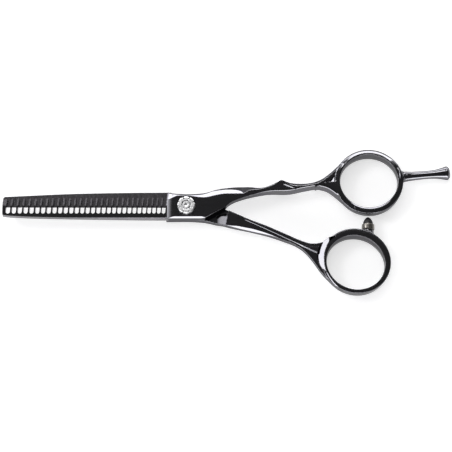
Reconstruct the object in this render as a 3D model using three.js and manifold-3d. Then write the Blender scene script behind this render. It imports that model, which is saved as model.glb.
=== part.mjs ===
// Thinning shears, closed. Millimetres. +Z up along the pivot, +X from the pivot to the handles,
// +Y toward the finger ring. The origin is on the pivot axis, on the flat back of the pivot screw,
// which is the plane the shears lie on.
import * as THREE from 'three';
import { mergeVertices } from 'three/addons/utils/BufferGeometryUtils.js';
import Module from 'manifold-3d';

const wasm = await Module();
wasm.setup();

// ---- Driving dimensions ----

const cuttingLength = 69.8; // pivot axis to the blade tips
const ringReach = 82.7; // pivot axis to the far side of the finger ring
const slack = 0.03; // between pieces that are fixed to each other
const runningGap = 0.05; // between pieces that turn on each other

// Heights up through the pivot
const headThickness = 0.6; // pivot screw head, proud of the back half
const halfThickness = 3.1; // each half at the pivot
const matingGap = 0.1; // the halves touch only near the tips of real shears; here they just clear
const backLow = headThickness;
const backHigh = backLow + halfThickness;
const frontLow = backHigh + matingGap;
const frontHigh = frontLow + halfThickness;

// Blades
const bladeThickness = 2.4;
const ricassoX = -7.7; // the thick middle of each half starts here
const gapCount = 30;
const firstGapX = -67.7;
const firstPitch = 2.27;
const pitchStep = -0.0167; // each gap is a little closer to the last
const firstGapWidth = 1.62;
const lastGapWidth = 1.36;
const gapRootY = -2.6;
const gapLean = THREE.MathUtils.degToRad(4);

// Shanks
const heelStartX = 6.9; // where the sloping heel leaves the straight side
const heelX = 15.1; // and where it ends, in the crotch
const heelRadius = 15.8; // inside this radius each half keeps to its own layer, so they can swing
const ringMidZ = 2.8;
const ringHalfHeight = 2.8;

// Finger rings: each lies between two slightly oval outlines, { x, y } their middle and { a, b }
// their half-axes, both turned by the same number of degrees
const fingerRing = {
  hole: { x: 69.55, y: 10.85, a: 10.85, b: 10.35 },
  rim: { x: ringReach - 13.15, y: 10.75, a: 13.15, b: 13.05 },
  turn: 0,
};
const thumbRing = {
  hole: { x: 64.0, y: -21.65, a: 11.0, b: 10.25 },
  rim: { x: 64.15, y: -21.05, a: 13.35, b: 12.75 },
  turn: THREE.MathUtils.degToRad(-30),
};

// Pivot
const counterboreRadius = 3.25;
const counterboreFloor = 5.2;
const headRadius = 3.6;
const neckRadius = 2.2; // the keyed neck sits in the back half
const neckFlat = 1.8; // pivot axis to each of its flats
const bushRadius = 2.5;
const barrelRadius = 1.9;
const barrelFlat = 1.6; // pivot axis to each flat on the end of the barrel
const threadRadius = 1.45;
const dialRadius = 3.4;
const dialLow = frontHigh + 0.15;
const dialHigh = dialLow + 2.05;
const hubRadius = 1.5;
const hubScrewRadius = 0.55;
const hubPocket = 0.55; // depth of the pocket in the dial for the head of the hub screw
const ballRadius = 0.4;
const ballPitchRadius = 2.59;
const ballCount = 10;

// Bumper and finger rest
const bumperX = 69.0;
const bossTopY = -8.25; // top of the boss on the thumb ring
const collarTopY = -5.85;
const tipY = -3.0;
const bossRadius = 2.1;
const collarRadius = 2.45;
const tipRadius = 1.9;
const stemRadius = 1.0;
const stemEndY = -9.8;
const restAngle = THREE.MathUtils.degToRad(5);
const restStart = { x: 84.0, y: 13.35 };
const restLength = 16.75;
const restScrewRadius = 0.9;

const fine = 40; // sides of a round piece
const small = 24; // sides of a small round piece

// ---- Materials ----

const material = (color, roughness, metalness) =>
  new THREE.MeshStandardMaterial({ color, roughness, metalness });

const blackTitanium = material(0x25252b, 0.22, 1);
const chrome = material(0xc9cacd, 0.18, 1);
const hardSteel = material(0x9a9ca0, 0.3, 1);
const springSteel = material(0x6f7277, 0.4, 1);
const bronze = material(0xa9803f, 0.45, 1);
const cagePolymer = material(0xd8cfb6, 0.6, 0);
const greyCollar = material(0x858280, 0.5, 0.2);
const rubber = material(0x2a2627, 0.85, 0);

// ---- Helpers ----

// A closed three.js geometry as a solid for booleans, without triangles that have shrunk to a line.
function solid(geometry) {
  const bare = geometry.clone();
  bare.deleteAttribute('normal');
  bare.deleteAttribute('uv');
  const merged = mergeVertices(bare, 1e-4);
  const corners = merged.index.array;
  const kept = [];
  for (let i = 0; i < corners.length; i += 3) {
    const [a, b, c] = [corners[i], corners[i + 1], corners[i + 2]];
    if (a !== b && b !== c && c !== a) kept.push(a, b, c);
  }
  return new wasm.Manifold(new wasm.Mesh({
    numProp: 3,
    vertProperties: new Float32Array(merged.attributes.position.array),
    triVerts: new Uint32Array(kept),
  }));
}

function geometryOf(body) {
  const mesh = body.getMesh();
  const geometry = new THREE.BufferGeometry();
  geometry.setAttribute('position', new THREE.BufferAttribute(mesh.vertProperties, 3));
  geometry.setIndex(new THREE.BufferAttribute(mesh.triVerts, 1));
  const faceted = geometry.toNonIndexed();
  faceted.computeVertexNormals();
  return faceted;
}

function piece(name, body, look, x = 0, y = 0, z = 0) {
  const mesh = new THREE.Mesh(geometryOf(body), look);
  mesh.name = name;
  mesh.position.set(x, y, z);
  return mesh;
}

// A body turned about the Z axis from a closed outline of [radius, height] points.
function turned(outline, sides = fine) {
  const points = outline.map(([r, z]) => new THREE.Vector2(r, z));
  points.push(points[0].clone());
  const geometry = new THREE.LatheGeometry(points, sides);
  geometry.rotateX(Math.PI / 2);
  return solid(geometry);
}

function disc(radius, low, high, sides = fine) {
  return turned([[0, low], [radius, low], [radius, high], [0, high]], sides);
}

function washer(inner, outer, low, high, sides = fine) {
  return turned([[inner, low], [outer, low], [outer, high], [inner, high]], sides);
}

function block(width, depth, low, high) {
  const geometry = new THREE.BoxGeometry(width, depth, high - low);
  geometry.translate(0, 0, (low + high) / 2);
  return solid(geometry);
}

// A flat plate with the outline of a THREE.Shape between two heights.
function plate(shape, low, high, curveSegments = 8) {
  const geometry = new THREE.ExtrudeGeometry(shape, {
    depth: high - low,
    bevelEnabled: false,
    curveSegments,
  });
  geometry.translate(0, 0, low);
  return solid(geometry);
}

function shapeOf(points) {
  return new THREE.Shape(points.map(([x, y]) => new THREE.Vector2(x, y)));
}

// A smooth curve y(x) through a few points in order of x.
function curveThrough(points) {
  const slopes = points.map((_, i) => {
    const [x0, y0] = points[Math.max(i - 1, 0)];
    const [x1, y1] = points[Math.min(i + 1, points.length - 1)];
    return (y1 - y0) / (x1 - x0);
  });
  return (x) => {
    let i = 0;
    while (i < points.length - 2 && x > points[i + 1][0]) i += 1;
    const [x0, y0] = points[i];
    const [x1, y1] = points[i + 1];
    const span = x1 - x0;
    const t = THREE.MathUtils.clamp((x - x0) / span, 0, 1);
    const rise = (3 - 2 * t) * t * t;
    const start = t * (1 - t) * (1 - t) * span * slopes[i];
    const end = t * t * (t - 1) * span * slopes[i + 1];
    return y0 + (y1 - y0) * rise + start + end;
  };
}

// ---- Shanks and rings ----

const sectionPoints = 16;

// The outline of a bar's cross-section: an oval for squareness 2, nearly a rectangle for 10.
function sectionPoint(i, squareness) {
  const angle = (i / sectionPoints) * 2 * Math.PI;
  const power = 2 / squareness;
  const across = Math.sign(Math.cos(angle)) * Math.abs(Math.cos(angle)) ** power;
  const up = Math.sign(Math.sin(angle)) * Math.abs(Math.sin(angle)) ** power;
  return [across, up];
}

// A bar along X. Its sides, its underside, its top and the shape of its section are functions of x.
function bar({ stations, sideHigh, sideLow, top, under, squareness }) {
  const positions = [];
  stations.forEach((x) => {
    const middleY = (sideHigh(x) + sideLow(x)) / 2;
    const halfWidth = (sideHigh(x) - sideLow(x)) / 2;
    const middleZ = (top(x) + under(x)) / 2;
    const halfHeight = (top(x) - under(x)) / 2;
    for (let i = 0; i < sectionPoints; i += 1) {
      const [across, up] = sectionPoint(i, squareness(x));
      positions.push(x, middleY + halfWidth * across, middleZ + halfHeight * up);
    }
  });
  const index = [];
  for (let s = 0; s < stations.length - 1; s += 1) {
    for (let i = 0; i < sectionPoints; i += 1) {
      const next = (i + 1) % sectionPoints;
      const [a, b] = [s * sectionPoints + i, s * sectionPoints + next];
      const [c, d] = [a + sectionPoints, b + sectionPoints];
      index.push(a, b, c, b, d, c);
    }
  }
  const last = (stations.length - 1) * sectionPoints;
  for (let i = 1; i < sectionPoints - 1; i += 1) {
    index.push(0, i + 1, i);
    index.push(last, last + i, last + i + 1);
  }
  const geometry = new THREE.BufferGeometry();
  geometry.setAttribute('position', new THREE.Float32BufferAttribute(positions, 3));
  geometry.setIndex(index);
  return solid(geometry);
}

// x values from one end of a shank to the other: closer where the half steps out of its layer,
// and one at each crest given.
function shankStations(endX, crests = []) {
  const stations = [...crests, ricassoX, -4, 0, 4, heelStartX, 9.5, 12.5, heelX, heelRadius];
  for (let x = heelRadius + 0.7; x < heelRadius + 4; x += 1.1) stations.push(x);
  const steps = 22;
  const startX = heelRadius + 5;
  for (let i = 0; i <= steps; i += 1) stations.push(startX + ((endX - startX) * i) / steps);
  return stations.sort((a, b) => a - b);
}

// Nearly rectangular at the pivot, rounder along the shank.
const shankSquareness = curveThrough([[ricassoX, 10], [heelRadius, 8], [24, 4.5], [38, 3], [58, 2.4]]);

function ovalPoint({ x, y, a, b }, turn, angle) {
  const along = a * Math.cos(angle);
  const across = b * Math.sin(angle);
  return [
    x + along * Math.cos(turn) - across * Math.sin(turn),
    y + along * Math.sin(turn) + across * Math.cos(turn),
  ];
}

// A finger ring: an oval section carried round between the hole and the rim.
function ringBody({ hole, rim, turn }) {
  const around = 44;
  const sides = 12;
  const positions = [];
  const index = [];
  for (let i = 0; i < around; i += 1) {
    const angle = (i / around) * 2 * Math.PI;
    const [holeX, holeY] = ovalPoint(hole, turn, angle);
    const [rimX, rimY] = ovalPoint(rim, turn, angle);
    for (let j = 0; j < sides; j += 1) {
      const section = (j / sides) * 2 * Math.PI;
      const share = (1 + Math.cos(section)) / 2;
      positions.push(
        THREE.MathUtils.lerp(holeX, rimX, share),
        THREE.MathUtils.lerp(holeY, rimY, share),
        ringMidZ + ringHalfHeight * Math.sin(section),
      );
      const a = i * sides + j;
      const b = i * sides + ((j + 1) % sides);
      const c = ((i + 1) % around) * sides + j;
      const d = ((i + 1) % around) * sides + ((j + 1) % sides);
      index.push(a, c, b, b, c, d);
    }
  }
  const geometry = new THREE.BufferGeometry();
  geometry.setAttribute('position', new THREE.Float32BufferAttribute(positions, 3));
  geometry.setIndex(index);
  return solid(geometry);
}

// The shoulder that carries the upper side of a shank on into the rim of its ring.
function ringShoulder(edge) {
  const thickness = 1.6;
  const startX = edge[0][0];
  const span = edge[edge.length - 1][0] - startX;
  const steps = 10;
  const upper = curveThrough(edge);
  return bar({
    stations: Array.from({ length: steps + 1 }, (_, i) => startX + (span * i) / steps),
    sideHigh: upper,
    sideLow: (x) => upper(x) - thickness,
    top: () => ringMidZ + 0.8 * ringHalfHeight,
    under: () => ringMidZ - 0.8 * ringHalfHeight,
    squareness: () => 2.2,
  });
}

// ---- Front half: toothed blade, upper shank, finger ring ----

function fingerShank() {
  const endX = 58.4;
  const crestX = 36.4; // the sharp bump on the upper side
  const upperEdge = curveThrough([
    [ricassoX, 6.0], [0, 5.3], [7.5, 6.1], [15, 7.5], [22, 8.2], [28.5, 7.9], [32.5, 9.3],
    [crestX, 11.3], [37.4, 10.7], [40, 9.8], [44, 9.5], [48, 10.0], [51.5, 11.5], [54.5, 13.8], [endX, 17.7],
  ]);
  const lowerEdge = curveThrough([
    [heelX, 0], [heelRadius, 0.8], [17, 1.7], [19, 2.7], [24, 4.4], [31, 5.8], [39, 6.0],
    [45, 7.3], [49.5, 8.0], [53, 7.3], [55.5, 5.6], [endX, 2.9],
  ]);
  const heelLow = -4.5;
  const heelSlope = (lowerEdge(heelX) - heelLow) / (heelX - heelStartX);
  const heel = (x) => heelLow + heelSlope * Math.max(x - heelStartX, 0);
  return bar({
    stations: shankStations(endX, [crestX]),
    sideHigh: upperEdge,
    sideLow: (x) => (x < heelX ? heel(x) : lowerEdge(x)),
    top: curveThrough([[ricassoX, frontHigh], [12, frontHigh], [24, 6.3], [38, 5.7], [58, 5.5]]),
    under: (x) => (x <= heelRadius ? frontLow : underOfShank(x)),
    squareness: shankSquareness,
  });
}

const underOfShank = curveThrough([[heelRadius, frontLow], [17, 2.6], [21, 1.4], [30, 0.7], [58, 0.1]]);

// A blade: its plan, carried up through the section drawn in Y and Z.
function bladeOf(outline, section) {
  const reach = cuttingLength + 5;
  const alongX = new THREE.ExtrudeGeometry(section, { depth: reach, bevelEnabled: false });
  alongX.rotateX(Math.PI / 2);
  alongX.rotateZ(Math.PI / 2);
  alongX.translate(-reach, 0, 0);
  return plate(outline, backLow, frontHigh).intersect(solid(alongX));
}

// The toothed blade, from its solid back to the tips of the teeth.
function toothedBlade() {
  const outline = shapeOf([
    [ricassoX + 2, -4.7], [ricassoX + 2, 4.2], [-40, 4.1], [-cuttingLength + 0.6, 3.6],
    [-cuttingLength, 3.0], [-cuttingLength, -2.7], [-cuttingLength + 0.6, -3.2], [-40, -4.25],
  ]);
  // Flat on the mating side. The outside slopes down toward the tips of the teeth.
  const section = shapeOf([
    [-5.2, frontLow], [4.6, frontLow], [4.6, frontLow + 0.9], [0.6, frontLow + bladeThickness],
    [-4.2, frontLow + bladeThickness], [-5.2, frontLow + bladeThickness - 0.7],
  ]);
  let blade = bladeOf(outline, section);
  let x = firstGapX;
  for (let i = 0; i < gapCount; i += 1) {
    const share = i / (gapCount - 1);
    blade = blade.subtract(toothGap(x, THREE.MathUtils.lerp(firstGapWidth, lastGapWidth, share)));
    x += firstPitch + pitchStep * i;
  }
  return blade;
}

// One gap between teeth: a slot with a round root, leaning a little.
function toothGap(x, width) {
  const r = width / 2;
  const beyondTips = 9;
  const slot = new THREE.Shape();
  slot.moveTo(r, 0);
  slot.lineTo(r, beyondTips);
  slot.lineTo(-r, beyondTips);
  slot.lineTo(-r, 0);
  slot.absarc(0, 0, r, Math.PI, 2 * Math.PI, false);
  return plate(slot, frontLow - 1, frontHigh + 1, 4)
    .rotate([0, 0, -THREE.MathUtils.radToDeg(gapLean)])
    .translate([x, gapRootY + r, 0]);
}

// The small cone on the finger ring that the finger rest screws into.
function restBoss() {
  const boss = turned([[0, -2.2], [2.75, -2.2], [2.3, -0.6], [2.0, 0], [0, 0]], small);
  const screwHole = disc(restScrewRadius + slack, -1.6, 1, small);
  return { boss: alongRest(boss), screwHole: alongRest(screwHole) };
}

// Turns a body made about Z to lie along the finger rest, starting where the rest starts.
function alongRest(body) {
  return body
    .rotate([0, 90, 0])
    .rotate([0, 0, THREE.MathUtils.radToDeg(restAngle)])
    .translate([restStart.x, restStart.y, ringMidZ]);
}

function toothedHalf() {
  const { boss, screwHole } = restBoss();
  const shoulder = ringShoulder([
    [51.5, 11.4], [54.5, 13.7], [57.5, 16.9], [60.5, 20.1], [63.5, 22.2], [66.5, 23.3],
  ]);
  const body = toothedBlade()
    .add(fingerShank())
    .add(ringBody(fingerRing))
    .add(shoulder)
    .add(boss)
    .subtract(screwHole)
    .subtract(disc(bushRadius + slack, frontLow - 1, counterboreFloor + 1))
    .subtract(disc(counterboreRadius, counterboreFloor, frontHigh + 1));
  return piece('toothed_half', body, blackTitanium);
}

// ---- Back half: straight blade, lower shank, thumb ring ----

function thumbShank() {
  const endX = 53;
  const upperEdge = curveThrough([
    [heelX, -0.2], [18.8, -1.8], [24, -4.2], [31, -7.0], [38, -10.2], [43.5, -12.7],
    [48, -13.8], [endX, -12.6],
  ]);
  const lowerEdge = curveThrough([
    [ricassoX, -4.3], [3, -4.35], [9, -5.0], [16, -6.7], [24, -8.6], [31, -10.2], [37, -12.3],
    [41.5, -14.1], [45, -16.9], [48, -20.7], [50.5, -24.6], [endX, -27.9],
  ]);
  const heelHigh = 5.2;
  const heelSlope = (upperEdge(heelX) - heelHigh) / (heelX - heelStartX);
  const heel = (x) => heelHigh + heelSlope * Math.max(x - heelStartX, 0);
  const top = curveThrough([[heelRadius, backHigh], [17, 4.9], [21, 5.4], [38, 5.5], [58, 5.5]]);
  return bar({
    stations: shankStations(endX),
    sideHigh: (x) => (x < heelX ? heel(x) : upperEdge(x)),
    sideLow: lowerEdge,
    top: (x) => (x <= heelRadius ? backHigh : top(x)),
    under: curveThrough([[ricassoX, backLow], [12, backLow], [24, 0.5], [38, 0.2], [58, 0.1]]),
    squareness: shankSquareness,
  });
}

// The plan of the straight blade, and its section with the bevel down to the cutting edge.
function straightBlade() {
  const outline = shapeOf([
    [ricassoX + 2, 0.5], [ricassoX + 2, 6.6], [-25, 6.45], [-45, 6.0], [-cuttingLength + 0.6, 4.85],
    [-cuttingLength, 4.2], [-cuttingLength, 1.2], [-cuttingLength + 0.6, 0.65],
  ]);
  const section = shapeOf([
    [0.4, backHigh - 0.1], [0.4, backHigh], [7, backHigh], [7, backHigh - bladeThickness + 0.6],
    [5.4, backHigh - bladeThickness], [3.4, backHigh - bladeThickness],
  ]);
  return bladeOf(outline, section);
}

// Turns a body made about Z to point along +Y at the bumper, with its Z heights becoming Y.
function alongBumper(body) {
  return body.rotate([-90, 0, 0]).translate([bumperX, 0, ringMidZ]);
}

function bumperBoss() {
  const boss = turned([[0, -10.8], [2.7, -10.8], [2.6, -9.8], [bossRadius, bossTopY], [0, bossTopY]], small);
  return alongBumper(boss);
}

// The round hole with two flats that keeps the pivot screw from turning in the back half.
function keyedNeck(radius, halfFlat, low, high) {
  return disc(radius, low, high).intersect(block(2 * halfFlat, 10, low - 1, high + 1));
}

function straightHalf() {
  const stemHole = alongBumper(disc(stemRadius + slack, stemEndY - 0.1, bossTopY + 1, small));
  const shoulder = ringShoulder([[48.5, -13.9], [52, -13.1], [55.5, -11.5], [59, -9.8], [62.5, -8.7]]);
  const body = straightBlade()
    .add(thumbShank())
    .add(ringBody(thumbRing))
    .add(shoulder)
    .add(bumperBoss())
    .subtract(stemHole)
    .subtract(keyedNeck(neckRadius + slack, neckFlat + slack, backLow - 1, backHigh + 1));
  return piece('straight_half', body, blackTitanium);
}

// ---- Pivot ----

const flatTopZ = 7.55; // the flats on the end of the barrel stop here and the thread starts

function pivotScrew() {
  const headHigh = headThickness - slack;
  const head = turned([
    [0, 0], [headRadius - 0.3, 0], [headRadius, 0.25], [headRadius, headHigh], [0, headHigh],
  ]);
  const neck = keyedNeck(neckRadius, neckFlat, headThickness - 0.2, backHigh + matingGap / 2);
  const barrel = disc(barrelRadius, backHigh + matingGap / 4, 6.3);
  const flats = keyedNeck(barrelRadius, barrelFlat, 6.2, flatTopZ);
  const thread = disc(threadRadius, flatTopZ - 0.2, 8.45);
  const screwHole = disc(hubScrewRadius + runningGap, 6.9, 9, small);
  const body = head.add(neck).add(barrel).add(flats).add(thread).subtract(screwHole);
  return piece('pivot_screw', body, hardSteel);
}

function pivotBush() {
  const bore = barrelRadius + runningGap;
  const body = washer(bore, bushRadius, frontLow + runningGap, counterboreFloor - slack);
  return piece('pivot_bush', body, bronze);
}

// A race ring: flat on one side, with a groove for the balls on the other. face is +1 when the
// groove is on top.
function race(name, flatZ, face) {
  const thickness = 0.3;
  const grooveRadius = ballRadius + runningGap;
  const grooveDepth = 0.1;
  const reach = Math.acos((grooveRadius - grooveDepth) / grooveRadius);
  const grooved = [];
  for (let i = 0; i <= 4; i += 1) {
    const angle = reach * (1 - i / 2);
    const rise = thickness - grooveDepth + grooveRadius * (1 - Math.cos(angle));
    grooved.push([ballPitchRadius + grooveRadius * Math.sin(angle), rise]);
  }
  const inner = barrelRadius + 0.15;
  const outer = counterboreRadius - runningGap;
  const outline = [[inner, 0], [outer, 0], [outer, thickness], ...grooved, [inner, thickness]];
  const body = turned(outline, small).rotate([face > 0 ? 0 : 180, 0, 0]);
  return piece(name, body, hardSteel, 0, 0, flatZ);
}

const lowerRaceZ = counterboreFloor + slack;
const ballZ = lowerRaceZ + 0.2 + 0.02 + ballRadius;
const upperRaceZ = ballZ + ballRadius + 0.02 + 0.2;

function ballCage() {
  const inner = barrelRadius + runningGap;
  const outer = counterboreRadius - runningGap;
  let body = washer(inner, outer, ballZ - 0.15, ballZ + 0.15);
  for (let i = 0; i < ballCount; i += 1) {
    const pocket = disc(ballRadius + runningGap, ballZ - 1, ballZ + 1, 10);
    const angle = (i * 360) / ballCount;
    body = body.subtract(pocket.translate([ballPitchRadius, 0, 0]).rotate([0, 0, angle]));
  }
  return piece('ball_cage', body, cagePolymer);
}

function bearingBall(i) {
  const angle = (i * 2 * Math.PI) / ballCount;
  const body = solid(new THREE.SphereGeometry(ballRadius, 8, 6).rotateX(Math.PI / 2));
  const x = ballPitchRadius * Math.cos(angle);
  const y = ballPitchRadius * Math.sin(angle);
  return piece(`bearing_ball_${i + 1}`, body, chrome, x, y, ballZ);
}

// A dished spring washer, touching at its outer edge below and its inner edge above.
function springWasher() {
  const low = upperRaceZ + slack;
  const body = turned([[2.0, low + 0.28], [3.0, low], [3.0, low + 0.2], [2.0, low + 0.48]], small);
  return piece('spring_washer', body, springSteel);
}

// Held by the flats on the barrel. Its finger drops into the dial's clicks.
function clickPlate() {
  const low = dialLow + 0.2;
  const high = low + 0.22;
  const bore = keyedNeck(barrelRadius + slack, barrelFlat + slack, low - 1, high + 1);
  let body = washer(1.2, 2.4, low, high, small).subtract(bore);
  for (const side of [0, 180]) {
    const finger = block(0.5, 0.7, low, high).translate([0, 2.3, 0]).rotate([0, 0, side]);
    body = body.add(finger);
  }
  return piece('click_plate', body, springSteel);
}

function tensionDial() {
  const recessTop = dialLow + 0.5;
  const hubFloor = dialHigh - hubPocket;
  const edge = 0.35;
  let body = turned([
    [0, dialLow], [dialRadius - 0.2, dialLow], [dialRadius, dialLow + 0.2],
    [dialRadius, dialHigh - edge], [dialRadius - edge, dialHigh], [0, dialHigh],
  ]);
  body = body
    .subtract(disc(2.75, dialLow - 1, recessTop, small))
    .subtract(disc(threadRadius + runningGap, dialLow - 1, dialHigh + 1, small))
    .subtract(disc(hubRadius + 0.15, hubFloor, dialHigh + 1, small));
  const notches = 8;
  for (let i = 0; i < notches; i += 1) {
    const notch = block(1.3, 0.5, dialHigh - 1, dialHigh + 1).translate([dialRadius, 0, 0]);
    body = body.subtract(notch.rotate([0, 0, ((i + 0.5) * 360) / notches]));
  }
  return piece('tension_dial', body, chrome);
}

// Holds the dial on: a flat head with a cross recess, screwed into the end of the pivot screw.
function hubScrew() {
  const endZ = 7.1;
  const headLow = dialHigh - hubPocket + runningGap;
  const headHigh = dialHigh - 0.08;
  let body = turned([
    [0, endZ], [hubScrewRadius, endZ], [hubScrewRadius, headLow], [hubRadius, headLow],
    [hubRadius, headHigh - 0.1], [hubRadius - 0.1, headHigh], [0, headHigh],
  ], small);
  for (const turn of [45, 135]) {
    const slot = block(1.7, 0.35, headHigh - 0.25, headHigh + 1).rotate([0, 0, turn]);
    body = body.subtract(slot);
  }
  return piece('hub_screw', body, chrome);
}

// ---- Bumper and finger rest ----

function bumperCollar() {
  const low = bossTopY + slack;
  const body = turned([
    [stemRadius + slack, low], [collarRadius - 0.3, low], [collarRadius, low + 0.35],
    [collarRadius, collarTopY - 0.8], [tipRadius + 0.1, collarTopY], [stemRadius + slack, collarTopY],
  ], small);
  return piece('bumper_collar', alongBumper(body), greyCollar);
}

function bumperTip() {
  const low = collarTopY + slack;
  const body = turned([
    [0, stemEndY], [stemRadius, stemEndY], [stemRadius, low], [tipRadius, low],
    [tipRadius - 0.15, tipY - 2.2], [1.45, tipY - 1.35], [1.0, tipY - 0.65], [0.5, tipY - 0.15],
    [0, tipY],
  ], small);
  return piece('bumper_tip', alongBumper(body), rubber);
}

// The finger rest: a turned bar with a narrow waist, flaring to a domed end.
function fingerRest() {
  const body = turned([
    [0, -1.5], [restScrewRadius, -1.5], [restScrewRadius, slack], [1.95, slack], [1.78, 1.6], [1.66, 4],
    [1.58, 6.6], [1.6, 8.8], [1.75, 11], [2.1, 13], [2.5, 14.7], [2.68, restLength - 1.45],
    [2.58, restLength - 0.9], [1.95, restLength - 0.3], [1.0, restLength - 0.05], [0, restLength],
  ], small);
  return piece('finger_rest', alongRest(body), blackTitanium);
}

// ---- Assembly ----

const shears = new THREE.Group();
shears.name = 'thinning_shears';

const fingerSide = new THREE.Group();
fingerSide.add(toothedHalf(), fingerRest(), pivotBush(), race('lower_race', lowerRaceZ, 1));

const thumbSide = new THREE.Group();
thumbSide.add(straightHalf(), pivotScrew(), race('upper_race', upperRaceZ, -1), springWasher());
thumbSide.add(clickPlate(), hubScrew(), bumperCollar(), bumperTip());

const bearing = new THREE.Group();
bearing.add(ballCage());
for (let i = 0; i < ballCount; i += 1) bearing.add(bearingBall(i));

shears.add(fingerSide, bearing, thumbSide, tensionDial());

export default shears;
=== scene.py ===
"""Thinning shears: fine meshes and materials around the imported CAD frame.

The shapes are worked out in millimetres in the CAD's own frame and made in metres. The handles, the
dial and the hub screw are signed distance fields, meshed on a grid. The blades are cut outlines, and
the bumper and the finger rest are turned. The pieces inside the pivot keep their CAD shapes.
"""
import math
from collections import namedtuple

import bmesh
import bpy
import numpy as np
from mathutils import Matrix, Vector


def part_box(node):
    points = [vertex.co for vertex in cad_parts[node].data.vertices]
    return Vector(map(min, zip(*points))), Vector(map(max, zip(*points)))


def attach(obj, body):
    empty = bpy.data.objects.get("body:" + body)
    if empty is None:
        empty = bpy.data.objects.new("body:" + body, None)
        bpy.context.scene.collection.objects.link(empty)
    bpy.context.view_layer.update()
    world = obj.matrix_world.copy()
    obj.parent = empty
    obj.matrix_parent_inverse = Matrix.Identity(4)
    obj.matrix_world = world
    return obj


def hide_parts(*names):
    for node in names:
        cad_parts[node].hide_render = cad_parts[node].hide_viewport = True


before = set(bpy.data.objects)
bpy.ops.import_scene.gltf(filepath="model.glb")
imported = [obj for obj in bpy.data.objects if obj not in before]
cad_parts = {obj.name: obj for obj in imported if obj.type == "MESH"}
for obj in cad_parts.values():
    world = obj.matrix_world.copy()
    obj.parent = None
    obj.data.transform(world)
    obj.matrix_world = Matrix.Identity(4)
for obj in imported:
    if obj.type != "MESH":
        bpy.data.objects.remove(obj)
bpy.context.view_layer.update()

MM = 0.001


def box_mm(node):
    low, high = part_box(node)
    return np.array(low) / MM, np.array(high) / MM


# ---- Sizes taken from the frame, in millimetres ----

TOOTHED_LOW = box_mm("toothed_half")[0]
DIAL_LOW, DIAL_HIGH = box_mm("tension_dial")
HUB_LOW, HUB_HIGH = box_mm("hub_screw")
COLLAR_LOW, COLLAR_HIGH = box_mm("bumper_collar")
TIP_LOW, TIP_HIGH = box_mm("bumper_tip")

# ---- Sizes that several pieces share ----

# The front half, with the teeth, lies over the back half at the pivot and just clears it.
HALF_THICKNESS = 3.1
MATING_GAP = 0.1
FRONT_HIGH = 6.9
FRONT_LOW = FRONT_HIGH - HALF_THICKNESS
BACK_HIGH = FRONT_LOW - MATING_GAP
BACK_LOW = BACK_HIGH - HALF_THICKNESS
LOWEST = 0.02  # the handles reach down to here

TIP_X = TOOTHED_LOW[0]
RICASSO_X = -7.7  # the thick middle of each half starts here
HEEL_START_X = 6.9  # where each sloping heel leaves the straight side
HEEL_X = 15.1  # and where it ends, in the crotch
HEEL_RADIUS = 15.8  # inside this radius each half keeps to its own layer, so that they can swing

RING_MID_Z = 2.8
RING_HALF_HEIGHT = 2.8
RING_TOP = RING_MID_Z + RING_HALF_HEIGHT
BUMPER_X = (TIP_LOW[0] + TIP_HIGH[0]) / 2

# Where the finger rest leaves the finger ring, and which way it points in the XY plane.
REST_X, REST_Y = 84.0, 13.35
REST_ANGLE = math.radians(5)

OUT_OF_REACH = -9  # a distance that leaves a cut without effect

# ---- Curves and distances ----


def curve_through(points):
    """A smooth curve y(x) through a few points in order of x."""
    xs, ys = np.array(points, dtype=float).T
    before = np.concatenate([[0], np.arange(len(xs) - 1)])
    after = np.concatenate([np.arange(1, len(xs)), [len(xs) - 1]])
    slopes = (ys[after] - ys[before]) / (xs[after] - xs[before])

    def at(x):
        x = np.clip(x, xs[0], xs[-1])
        i = np.clip(np.searchsorted(xs, x) - 1, 0, len(xs) - 2)
        span = xs[i + 1] - xs[i]
        t = (x - xs[i]) / span
        rise = (3 - 2 * t) * t * t
        start = t * (1 - t) ** 2 * span * slopes[i]
        end = t * t * (t - 1) * span * slopes[i + 1]
        return ys[i] + (ys[i + 1] - ys[i]) * rise + start + end

    return at


def smoothstep(a, b, x):
    t = np.clip((x - a) / (b - a), 0, 1)
    return t * t * (3 - 2 * t)


def mix(a, b, t):
    return a + (b - a) * t


def join(a, b, radius):
    """Union of two fields, blended over the radius."""
    h = np.maximum(radius - np.abs(a - b), 0) / radius
    return np.minimum(a, b) - h * h * radius / 4


def meet(a, b, radius):
    """Intersection of two fields, its edge rounded to the radius."""
    u = np.maximum(a + radius, 0)
    v = np.maximum(b + radius, 0)
    return np.minimum(-radius, np.maximum(a, b)) + np.hypot(u, v)


def below(edge, x, y):
    """Distance from the curve y = edge(x): negative under it."""
    step = 0.05
    slope = (edge(x + step) - edge(x - step)) / (2 * step)
    return (y - edge(x)) / np.sqrt(1 + slope * slope)


def oval_distance(oval, turn, x, y):
    """Near enough the distance from an ellipse (middle x, y, half-axes a, b): negative inside."""
    middle_x, middle_y, a, b = oval
    dx, dy = x - middle_x, y - middle_y
    u = dx * math.cos(turn) + dy * math.sin(turn)
    v = dy * math.cos(turn) - dx * math.sin(turn)
    near = np.hypot(u / a, v / b)
    far = np.hypot(u / a**2, v / b**2) + 1e-9
    return near * (near - 1) / far


# ---- Meshing a distance field ----


CORNERS = [(a, b, c) for a in (0, 1) for b in (0, 1) for c in (0, 1)]
SLAB_POINTS = 400_000  # grid points worked out at a time


def grid_values(field, xs, ys, zs):
    """The field at every grid point, worked out a few layers at a time to save memory."""
    values = np.ones((len(xs), len(ys), len(zs)), dtype=np.float32)
    layers = max(1, SLAB_POINTS // (len(ys) * len(zs)))
    for i in range(0, len(xs), layers):
        x, y, z = np.meshgrid(xs[i : i + layers], ys, zs, indexing="ij", sparse=True)
        values[i : i + layers] = field(x, y, z)
    return values


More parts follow.
